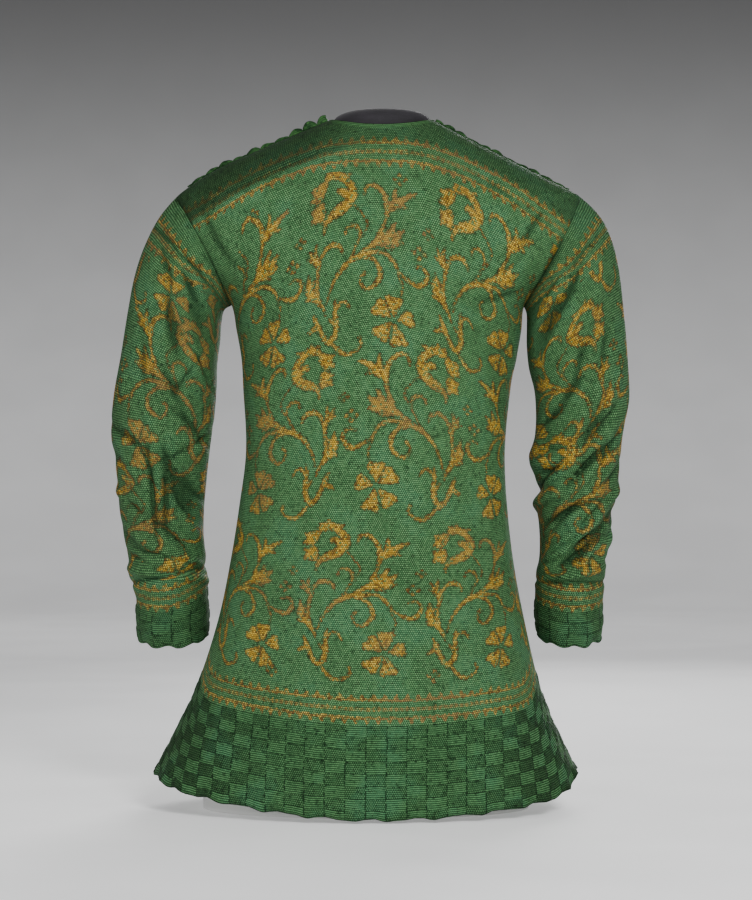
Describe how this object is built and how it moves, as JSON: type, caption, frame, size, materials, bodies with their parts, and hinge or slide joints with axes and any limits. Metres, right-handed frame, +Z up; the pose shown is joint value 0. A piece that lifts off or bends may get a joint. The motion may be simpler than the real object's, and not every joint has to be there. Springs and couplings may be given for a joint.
{
  "type": "knitted jacket on dress form",
  "caption": "Long-sleeved hip-length knitted jacket with flared skirt, all-over scroll pattern and basket-stitch borders, filled out by a limbless dress form it stands on.",
  "frame": {"origin": "centre of the bounding box's bottom, on the floor under the dress form", "axes": "+Z up; the jacket's back faces -Y and its open front +Y; its left sleeve is at -X"},
  "size_m": [0.4976, 0.3102, 0.6684],
  "materials": {
    "knit": "silk knit, green with gold-yellow scrolls, bands and dots",
    "selvedge": "plain light green knitted selvedge",
    "form_cover": "dark charcoal jersey stretched over the form"
  },
  "bodies": {
    "root": {"back": "knit", "front_left": "knit", "front_right": "knit", "sleeve_left": "knit", "sleeve_right": "knit", "shoulder_frill_left": "selvedge", "shoulder_frill_right": "selvedge", "dress_form": "form_cover"}
  },
  "joints": []
}
